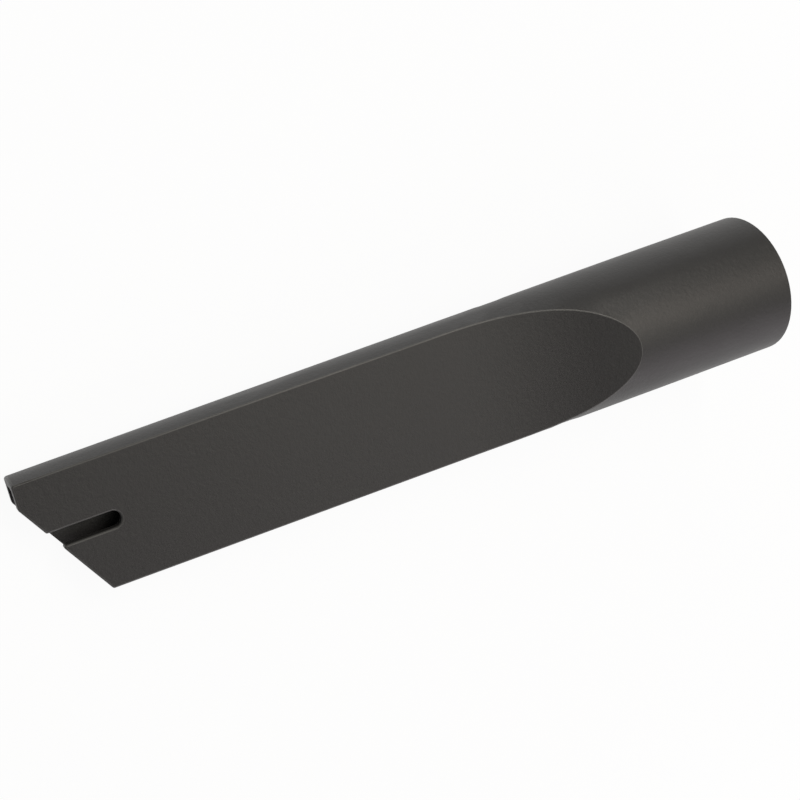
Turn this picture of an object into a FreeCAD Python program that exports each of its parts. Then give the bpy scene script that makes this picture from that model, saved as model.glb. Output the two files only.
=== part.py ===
"""Vacuum crevice tool: a round push-fit socket that runs into a long flat suction tip.

The tool is one injection-moulded shell. It is drawn along its own axis, X from the tip to the
mouth, Y across the flat tip and Z through its thickness, with the slotted face up. It is then
laid down as it comes to rest on a table: on the two rear corners of its tip and on the heel of
its round end. Its origin is below its middle, on the table.
"""
import FreeCAD, Part
import math
import os

from FreeCAD import Rotation, Vector

# Driving dimensions, in millimetres and degrees
overall_length = 212.0      # tip to mouth, along the axis
mouth_radius = 19.5         # outside of the round end at its mouth
shoulder_radius = 19.1      # outside of the round end where its taper eases
shoulder_x = 174.0          # distance of that place from the tip
tip_radius = 16.7           # radius of the rounded sides at the tip
tip_thickness = 9.2         # over both faces at the tip
face_draft_deg = 0.74       # each face rises this much towards the mouth
swoop_start_x = 113.8       # where each face starts to curve outwards
swoop_radius = 97.0         # hollow curve of each face
ramp_deg = 23.8             # steepest slope of each face, from there straight out to the side
wall = 2.0                  # shell thickness of the sides and faces

bore_radius = 17.5          # socket for the tube of the cleaner
bore_depth = 30.0           # depth of the socket, down to its stop
stop_ledge = 0.5            # step that stops the tube
lead_in = 0.8               # chamfer at the mouth of the socket

slant_deg = 30.6            # end cut of the tip, against a square cut
slant_start_y = 9.9         # the cut is square outside this line, and slanted across the rest

slot_width = 4.2            # bleed slot through the upper face, open at the slanted edge
slot_y = 0.25               # its centre line
slot_end_x = 22.0           # far side of its round end

edge_round = 0.5            # outer edges of the flat faces, of the tip's end and of the slot
corner_round = 0.7          # corners of the tip, seen from above
slot_corner_round = 0.6     # corners where the slot opens into the slanted edge
rim_round = 0.3             # outer edge of the mouth

reach = 10.0                # how far cutting shapes run past the body
tiny = 0.01                 # slack when edges are told apart by their place

draft = math.radians(face_draft_deg)
ramp = math.radians(ramp_deg)
slant = math.radians(slant_deg)


def tube_radius(x):
    """Outer radius of the tapered round body, between the tip and the shoulder."""
    return tip_radius + (shoulder_radius - tip_radius) * x / shoulder_x


def face_arc(inset, angle):
    """Point (x, z) of the upper face's hollow curve where its slope is angle, moved in by inset."""
    start_z = tip_thickness / 2 + swoop_start_x * math.tan(draft)
    centre_x = swoop_start_x - swoop_radius * math.sin(draft)
    centre_z = start_z + swoop_radius * math.cos(draft)
    radius = swoop_radius + inset
    return centre_x + radius * math.sin(angle), centre_z - radius * math.cos(angle)


def between_faces(inset):
    """Solid between the two flat faces moved in by inset, wide and long enough to cover the body."""
    outer_z = mouth_radius + reach
    start_x, start_z = face_arc(inset, draft)
    end_x, end_z = face_arc(inset, ramp)
    tip_z = start_z - (start_x + reach) * math.tan(draft)
    ramp_top_x = end_x + (outer_z - end_z) / math.tan(ramp)
    back_x = max(overall_length, ramp_top_x) + reach

    def at(point, side):
        return Vector(point[0], -outer_z, side * point[1])

    edges = []
    for side in (1, -1):
        tip, start, middle, end, ramp_top, back = [at(point, side) for point in (
            (-reach, tip_z),
            (start_x, start_z),
            face_arc(inset, (draft + ramp) / 2),
            (end_x, end_z),
            (ramp_top_x, outer_z),
            (back_x, outer_z),
        )]
        edges.append(Part.makeLine(tip, start))
        edges.append(Part.Arc(start, middle, end).toShape())
        edges.append(Part.makeLine(end, ramp_top))
        edges.append(Part.makeLine(ramp_top, back))
    edges.append(Part.makeLine(at((-reach, tip_z), 1), at((-reach, tip_z), -1)))
    edges.append(Part.makeLine(at((back_x, outer_z), 1), at((back_x, outer_z), -1)))
    profile = Part.Face(Part.Wire(Part.__sortEdges__(edges)))
    return profile.extrude(Vector(0, 2 * outer_z, 0))


def turned(points):
    """Solid of revolution about X through points given as (x, radius), its seam at the side."""
    closed = [(points[0][0], 0.0)] + points + [(points[-1][0], 0.0), (points[0][0], 0.0)]
    wire = Part.makePolygon([Vector(x, -radius, 0) for x, radius in closed])
    return Part.Face(wire).revolve(Vector(0, 0, 0), Vector(1, 0, 0), 360)


def prism(corners, low_z, high_z):
    """Straight block through the corners (x, y), from low_z to high_z."""
    wire = Part.makePolygon([Vector(x, y, low_z) for x, y in corners + corners[:1]])
    return Part.Face(wire).extrude(Vector(0, 0, high_z - low_z))


def outer_body():
    """Tapered round body trimmed by the two faces and by the slanted end cut."""
    tube = turned([(0, tip_radius), (shoulder_x, shoulder_radius), (overall_length, mouth_radius)])
    far = tip_radius + reach
    shift = (slant_start_y + far) * math.tan(slant)
    waste = prism([(0, slant_start_y), (shift, -far), (-reach, -far), (-reach, slant_start_y)], -far, far)
    body = tube.common(between_faces(0)).cut(waste)
    corners = [edge for edge in body.Edges if is_tip_corner(edge)]
    return body.makeFillet(corner_round, corners)


def hollow():
    """Air space inside: the flat duct, its throat and the socket with its lead-in."""
    stop_x = overall_length - bore_depth
    throat_radius = bore_radius - stop_ledge
    duct_radius = tip_radius - wall
    taper = (throat_radius - duct_radius) / stop_x
    duct = turned([(-reach, duct_radius - reach * taper), (stop_x, throat_radius)])
    socket = turned([
        (stop_x, bore_radius),
        (overall_length - lead_in, bore_radius),
        (overall_length + reach, bore_radius + lead_in + reach),
    ])
    return duct.common(between_faces(wall)).fuse(socket)


def slot():
    """Air space of the bleed slot, from the duct up through the upper face."""
    radius = slot_width / 2
    centre_x = slot_end_x - radius
    run = Part.makeBox(centre_x + reach, slot_width, tip_radius, Vector(-reach, slot_y - radius, 0))
    end = Part.makeCylinder(radius, tip_radius, Vector(centre_x, slot_y, 0))
    return run.fuse(end)


def is_tip_corner(edge):
    """An edge through the thickness where the outline of the tip turns, whole or half."""
    box = edge.BoundBox
    upright = box.ZLength > 0.9 * tip_thickness / 2 and box.YLength < tip_thickness / 4
    return upright and box.XMax < (slant_start_y + tip_radius) * math.tan(slant) + 1


def is_slot_corner(edge):
    """An edge through the upper face where the slot opens into the slanted edge."""
    box = edge.BoundBox
    on_slot_side = abs(abs(box.Center.y - slot_y) - slot_width / 2) < tiny
    through_face = box.ZMin > 0 and box.ZLength > wall / 2 and box.YLength < tiny
    return on_slot_side and through_face and box.XMax < slot_end_x - slot_width / 2 - tiny


def is_outline(edge):
    """An outer edge of a flat face: its long ridges, the end of its swoop, its tip and its slot."""
    box = edge.BoundBox
    crosses_face = box.XLength < tiny and box.XMin > slot_end_x
    if crosses_face or box.XMax > shoulder_x - tiny:
        return False
    first, last = edge.ParameterRange
    for part in (0.1, 0.5, 0.9):
        point = edge.valueAt(first + (last - first) * part)
        face_z = tip_thickness / 2 + point.x * math.tan(draft)
        on_side = math.hypot(point.y, point.z) > tube_radius(point.x) - wall / 2
        if abs(point.z) < face_z - tiny or not (on_side or point.x < slot_end_x + tiny):
            return False
    return True


def is_rim(edge):
    """The outer edge of the mouth."""
    return edge.BoundBox.XMin > overall_length - tiny and edge.BoundBox.YMax > mouth_radius - tiny


def shell():
    """The moulded tool in its own axes, hollow, slotted and with its outer edges rounded."""
    body = outer_body().cut(hollow()).cut(slot())
    for radius, chosen in ((slot_corner_round, is_slot_corner), (edge_round, is_outline), (rim_round, is_rim)):
        body = body.makeFillet(radius, [edge for edge in body.Edges if chosen(edge)])
    return body


def table_normal():
    """Upward direction of the table, in the tool's axes, when the tool rests on its lower face."""
    end_x, end_z = face_arc(0, ramp)
    taper = (shoulder_radius - tip_radius) / shoulder_x
    heel_x = (tip_radius - end_z + end_x * math.tan(ramp)) / (math.tan(ramp) - taper)
    heel_radius = tube_radius(heel_x)
    nose = Vector(0, slant_start_y, -tip_thickness / 2)
    low_y = -math.sqrt(tip_radius ** 2 - (tip_thickness / 2) ** 2)
    low_x = (slant_start_y - low_y) * math.tan(slant)
    corner = Vector(low_x, low_y, -tip_thickness / 2 - low_x * math.tan(draft))
    up = Vector(0, 0, 1)
    for settle in range(20):
        across = math.hypot(up.y, up.z)
        heel = Vector(heel_x, -heel_radius * up.y / across, -heel_radius * up.z / across)
        up = (corner - nose).cross(heel - nose).normalize()
    return up


def lay_down(body):
    """Turn the tool to its rest, with its middle over the origin and its lowest point on the table."""
    up = table_normal()
    roll = math.degrees(math.atan2(up.y, up.z))
    pitch = math.degrees(math.atan2(-up.x, math.hypot(up.y, up.z)))
    turn = Rotation(Vector(0, 1, 0), pitch).multiply(Rotation(Vector(1, 0, 0), roll))
    body.Placement = FreeCAD.Placement(Vector(0, 0, 0), turn)
    box = body.optimalBoundingBox(False, False)
    shift = Vector(-box.Center.x, -box.Center.y, -box.ZMin)
    body.Placement = FreeCAD.Placement(shift, turn)
    return body


crevice_tool = lay_down(shell())
os.makedirs("parts", exist_ok=True)
crevice_tool.exportStep("parts/crevice_tool.step")
placing = crevice_tool.Placement
socket_middle = placing.multVec(Vector(overall_length - (bore_depth + lead_in) / 2, 0, 0))
leaving = placing.Rotation.multVec(Vector(1, 0, 0))
print("valid", crevice_tool.isValid(), "solids", len(crevice_tool.Solids), "volume", round(crevice_tool.Volume, 1))
print("socket middle", [round(value, 4) for value in socket_middle], "axis", [round(value, 6) for value in leaving])
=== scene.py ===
"""Vacuum crevice tool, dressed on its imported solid: fine-grained charcoal plastic, studio light, camera."""
import math

import bmesh
import bpy
from mathutils import Matrix, Vector


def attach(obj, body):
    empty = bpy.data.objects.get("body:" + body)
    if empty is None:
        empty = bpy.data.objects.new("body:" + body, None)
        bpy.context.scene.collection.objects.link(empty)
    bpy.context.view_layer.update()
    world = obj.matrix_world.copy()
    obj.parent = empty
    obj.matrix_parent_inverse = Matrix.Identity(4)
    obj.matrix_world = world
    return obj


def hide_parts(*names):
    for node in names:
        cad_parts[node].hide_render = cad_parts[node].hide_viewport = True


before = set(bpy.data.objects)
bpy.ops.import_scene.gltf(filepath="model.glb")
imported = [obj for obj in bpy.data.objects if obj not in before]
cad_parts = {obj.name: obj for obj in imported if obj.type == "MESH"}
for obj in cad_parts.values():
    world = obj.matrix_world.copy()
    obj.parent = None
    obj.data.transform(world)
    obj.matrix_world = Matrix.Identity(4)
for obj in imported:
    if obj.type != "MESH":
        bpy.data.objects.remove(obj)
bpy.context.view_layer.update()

MM = 0.001
WELD = 0.002 * MM                       # points of the solid's loose triangles nearer than this are one
CREASE = math.radians(32)               # edges that turn more than this stay sharp
EDGE_RADIUS = 1.0 * MM                  # faces that curve tighter than this belong to a rounded edge

# Charcoal plastic
CHARCOAL = (0.0205, 0.0200, 0.0200)
EDGE_HIGHLIGHT_GREY = (0.0550, 0.0550, 0.0540)  # colour of the rounded edges, made paler as a painted highlight
FACE_GLOSS = 0.45                       # roughness of the spark-eroded surfaces
EDGE_GLOSS = 0.40                       # roughness of the rounded edges, rubbed smoother
GRAIN = 1.2 * MM                        # width of the grain's coarsest bumps
GRAIN_DEPTH = 0.085 * MM
GRAIN_FINER = 3.0                       # how many times the grain repeats at half its width
GRAIN_FINENESS = 0.7                    # how strong each finer layer is beside the one before
GRAIN_TONE = 0.12                       # how much the grain's hollows are darker than its tops
PATCH = 9.0 * MM                        # width of the patches where the grain is a little duller
PATCH_FINER = 3.0
PATCH_FINENESS = 0.5
PATCH_SHARE = 0.05                      # how much the patches differ in roughness

# Camera, found by fitting the tool's outline to the photograph
CAMERA_AT = Vector((-168.73, 103.80, 325.78)) * MM
CAMERA_LOOK = Vector((0.44154, -0.27725, -0.85333))
CAMERA_UP = Vector((0.33005, 0.93457, -0.13287))
CAMERA_FILM = 36                        # width in millimetres
CAMERA_LENS = 63.967                    # millimetres
CAMERA_NEAR = 10 * MM                   # nearest distance that it shows

# Soft lamps: compass and height angles seen from the tool, width, height, brightness, colour
LAMPS = {
    "overhead_softbox": (39, 64, 0.48, 0.35, 3.20, (1.00, 0.91, 0.81)),
    "rear_strip": (69, 43, 0.12, 0.65, 8.25, (1.00, 0.96, 0.89)),
    "top_softbox": (328, 82, 0.43, 0.83, 1.40, (1.00, 0.97, 0.88)),
    "front_wall": (280, 26, 1.20, 0.74, 1.28, (1.00, 0.93, 0.96)),
}
LAMP_DISTANCE = 0.80
LAMP_AIM = Vector((0, 0, 14)) * MM
ROOM_LIGHT = 0.15                       # even light from all round

# Floor, part plain white and part lit, so that it still takes the tool's shadow
FLOOR_HALF = 3.0                        # half the length of its side
FLOOR_COLOUR = 0.85
FLOOR_WHITE = 0.94                      # share of plain white that the camera sees at the tool
SHADOW_REACH = 0.13                     # distance from the tool's middle where that share starts to grow
WHITE_REACH = 0.30                      # distance from which the floor is plain white
MIRROR_WHITE = 0.75                     # share of plain white that the tool's gloss mirrors


def shader(owner, kind, **settings):
    """A new shader node, with its plain settings and the values of its sockets."""
    node = owner.node_tree.nodes.new(kind)
    for name, value in settings.items():
        if name in node.inputs:
            node.inputs[name].default_value = value
        else:
            setattr(node, name, value)
    return node


def join(owner, source, target):
    """Link an output socket to an input socket."""
    owner.node_tree.links.new(source, target)


def ramp(owner, value, **limits):
    """An output socket's value, carried from 0 to 1 or the From limits over to the To limits."""
    node = shader(owner, "ShaderNodeMapRange")
    for name, limit in limits.items():
        node.inputs[name.replace("_", " ")].default_value = limit
    join(owner, value, node.inputs["Value"])
    return node


def reckon(owner, operation, *values):
    """The result of a sum on numbers and output sockets."""
    node = shader(owner, "ShaderNodeMath", operation=operation)
    for socket, value in zip(node.inputs, values):
        if isinstance(value, float):
            socket.default_value = value
        else:
            join(owner, value, socket)
    return node.outputs["Value"]


def colour_mix(owner, low, high, factor):
    """A mix of two colours, each a plain colour or an output socket, by an output socket."""
    node = shader(owner, "ShaderNodeMix", data_type="RGBA")
    sockets = [socket for socket in node.inputs if socket.type == "RGBA"]
    for socket, colour in zip(sockets, (low, high)):
        if isinstance(colour, tuple):
            socket.default_value = (*colour, 1)
        else:
            join(owner, colour, socket)
    join(owner, factor, node.inputs["Factor"])
    return next(socket for socket in node.outputs if socket.type == "RGBA")


def mottle(owner, place, width, finer, fineness):
    """An uneven pattern in space, from 0 to 1, with its coarsest spots as wide as width."""
    noise = shader(owner, "ShaderNodeTexNoise", Scale=1 / width, Detail=finer, Roughness=fineness)
    join(owner, place, noise.inputs["Vector"])
    return noise.outputs["Fac"]


def charcoal_plastic():
    """Moulded charcoal plastic with a fine spark-eroded grain, edges rubbed smoother, and a painted highlight
    that makes the rounded edges paler.
    """
    material = bpy.data.materials.new("charcoal_plastic")
    material.use_nodes = True
    surface = material.node_tree.nodes["Principled BSDF"].inputs
    place = shader(material, "ShaderNodeTexCoord").outputs["Object"]
    edge = shader(material, "ShaderNodeAttribute", attribute_name="rounded_edge").outputs["Fac"]
    grain = mottle(material, place, GRAIN, GRAIN_FINER, GRAIN_FINENESS)
    patches = mottle(material, place, PATCH, PATCH_FINER, PATCH_FINENESS)

    uneven = ramp(material, edge, To_Min=1.0, To_Max=0.0)
    relief = shader(material, "ShaderNodeBump", Distance=GRAIN_DEPTH)
    join(material, uneven.outputs["Result"], relief.inputs["Strength"])
    join(material, grain, relief.inputs["Height"])
    join(material, relief.outputs["Normal"], surface["Normal"])

    smoothest = FACE_GLOSS * (1 - PATCH_SHARE)
    roughest = FACE_GLOSS * (1 + PATCH_SHARE)
    gloss = ramp(material, patches, To_Min=smoothest, To_Max=roughest)
    finish = ramp(material, edge, To_Max=EDGE_GLOSS)
    join(material, gloss.outputs["Result"], finish.inputs["To Min"])
    join(material, finish.outputs["Result"], surface["Roughness"])

    hollow = tuple(level * (1 - GRAIN_TONE) for level in CHARCOAL)
    top = tuple(level * (1 + GRAIN_TONE) for level in CHARCOAL)
    grained = colour_mix(material, hollow, top, grain)
    # painted highlight: the rounded edges' colour is made paler
    with_edge_highlight = colour_mix(material, grained, EDGE_HIGHLIGHT_GREY, edge)
    join(material, with_edge_highlight, surface["Base Color"])
    return material


def corner_normal(face, corner):
    """The smooth direction of the surface at a corner of a face, past no sharp edge."""
    near = [other for other in corner.link_faces if other.normal.angle(face.normal, 0) < CREASE]
    return sum((other.normal * other.calc_area() for other in near), Vector())


def mark_rounded_edges(work):
    """One on the faces of the rounded edges and nought elsewhere, for the finish and the painted edge
    highlight to read.
    """
    mark = work.faces.layers.float.new("rounded_edge")
    for face in work.faces:
        normals = [corner_normal(face, corner) for corner in face.verts]
        turn = max(normals[i].angle(normals[i - 1], 0) for i in range(3))
        width = 2 * face.calc_area() / max(edge.calc_length() for edge in face.edges)
        face[mark] = 1.0 if turn * EDGE_RADIUS > width else 0.0


def moulded_shell(node_name, material):
    """The tool's shell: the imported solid's mesh welded together, with smooth faces and true edges."""
    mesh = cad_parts[node_name].data.copy()
    mesh.name = "moulded_shell"
    mesh.materials.clear()
    work = bmesh.new()
    work.from_mesh(mesh)
    bmesh.ops.remove_doubles(work, verts=work.verts, dist=WELD)
    for face in work.faces:
        face.smooth = True
    for edge in work.edges:
        edge.smooth = len(edge.link_faces) == 2 and edge.calc_face_angle() < CREASE
    mark_rounded_edges(work)
    work.to_mesh(mesh)
    work.free()
    if "custom_normal" in mesh.attributes:
        mesh.attributes.remove(mesh.attributes["custom_normal"])
    mesh.materials.append(material)
    piece = bpy.data.objects.new("moulded_shell", mesh)
    bpy.context.scene.collection.objects.link(piece)
    weighted = piece.modifiers.new("flat faces stay flat", "WEIGHTED_NORMAL")
    weighted.mode = "FACE_AREA"
    weighted.keep_sharp = True
    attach(piece, "root")
    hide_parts(node_name)


def white_floor():
    """White to the camera and to the tool's gloss, and lit for the rest, which takes the tool's shadow."""
    material = bpy.data.materials.new("floor")
    material.use_nodes = True
    lit = material.node_tree.nodes["Principled BSDF"]
    lit.inputs["Base Color"].default_value = (FLOOR_COLOUR, FLOOR_COLOUR, FLOOR_COLOUR, 1)
    lit.inputs["Roughness"].default_value = 1.0
    lit.inputs["Specular IOR Level"].default_value = 0.0

    path = shader(material, "ShaderNodeLightPath").outputs
    place = shader(material, "ShaderNodeTexCoord")
    distance = shader(material, "ShaderNodeVectorMath", operation="LENGTH")
    join(material, place.outputs["Object"], distance.inputs[0])
    whiteness = ramp(
        material,
        distance.outputs["Value"],
        From_Min=SHADOW_REACH,
        From_Max=WHITE_REACH,
        To_Min=FLOOR_WHITE,
    )
    seen = reckon(material, "MULTIPLY", path["Is Camera Ray"], whiteness.outputs["Result"])
    mirrored = reckon(material, "MAXIMUM", path["Is Glossy Ray"], path["Is Transmission Ray"])
    share = reckon(material, "MULTIPLY_ADD", mirrored, MIRROR_WHITE, seen)
    white = shader(material, "ShaderNodeEmission", Strength=1.0)
    mix = shader(material, "ShaderNodeMixShader")
    join(material, share, mix.inputs["Fac"])
    join(material, lit.outputs["BSDF"], mix.inputs[1])
    join(material, white.outputs["Emission"], mix.inputs[2])
    join(material, mix.outputs["Shader"], material.node_tree.nodes["Material Output"].inputs["Surface"])
    return material


def floor():
    """Wide flat floor under the tool."""
    work = bmesh.new()
    bmesh.ops.create_grid(work, x_segments=1, y_segments=1, size=FLOOR_HALF)
    mesh = bpy.data.meshes.new("floor")
    work.to_mesh(mesh)
    work.free()
    mesh.materials.append(white_floor())
    piece = bpy.data.objects.new("floor", mesh)
    bpy.context.scene.collection.objects.link(piece)


def camera():
    """Looks down on the tool as the photograph does."""
    data = bpy.data.cameras.new("camera")
    data.sensor_width = CAMERA_FILM
    data.lens = CAMERA_LENS
    data.clip_start = CAMERA_NEAR
    piece = bpy.data.objects.new("camera", data)
    bpy.context.scene.collection.objects.link(piece)
    back = -CAMERA_LOOK.normalized()
    right = CAMERA_UP.cross(back).normalized()
    turn = Matrix((right, back.cross(right), back)).transposed().to_4x4()
    piece.matrix_world = Matrix.Translation(CAMERA_AT) @ turn
    bpy.context.scene.camera = piece


def soft_lamp(name, compass, height, wide, high, brightness, colour):
    """A rectangular soft lamp that faces the tool, as bright all over as brightness says."""
    data = bpy.data.lights.new(name, "AREA")
    data.shape = "RECTANGLE"
    data.size = wide
    data.size_y = high
    data.color = colour
    data.energy = brightness * math.pi * wide * high
    piece = bpy.data.objects.new(name, data)
    bpy.context.scene.collection.objects.link(piece)
    compass = math.radians(compass)
    height = math.radians(height)
    away = Vector((
        math.cos(height) * math.cos(compass),
        math.cos(height) * math.sin(compass),
        math.sin(height),
    ))
    place = Matrix.Translation(LAMP_AIM + away * LAMP_DISTANCE)
    piece.matrix_world = place @ away.to_track_quat("Z", "Y").to_matrix().to_4x4()
    piece.visible_camera = False


def studio():
    """Soft lamps round the tool in a dim room that shows white to the camera."""
    for name, settings in LAMPS.items():
        soft_lamp(name, *settings)
    world = bpy.data.worlds.new("studio")
    bpy.context.scene.world = world
    world.use_nodes = True
    room = world.node_tree.nodes["Background"].inputs
    room["Color"].default_value = (1, 1, 1, 1)
    path = shader(world, "ShaderNodeLightPath").outputs
    strength = ramp(world, path["Is Camera Ray"], To_Min=ROOM_LIGHT, To_Max=1.0)
    join(world, strength.outputs["Result"], room["Strength"])


moulded_shell("crevice_tool", charcoal_plastic())
floor()
studio()
camera()
bpy.context.scene.view_settings.view_transform = "Standard"
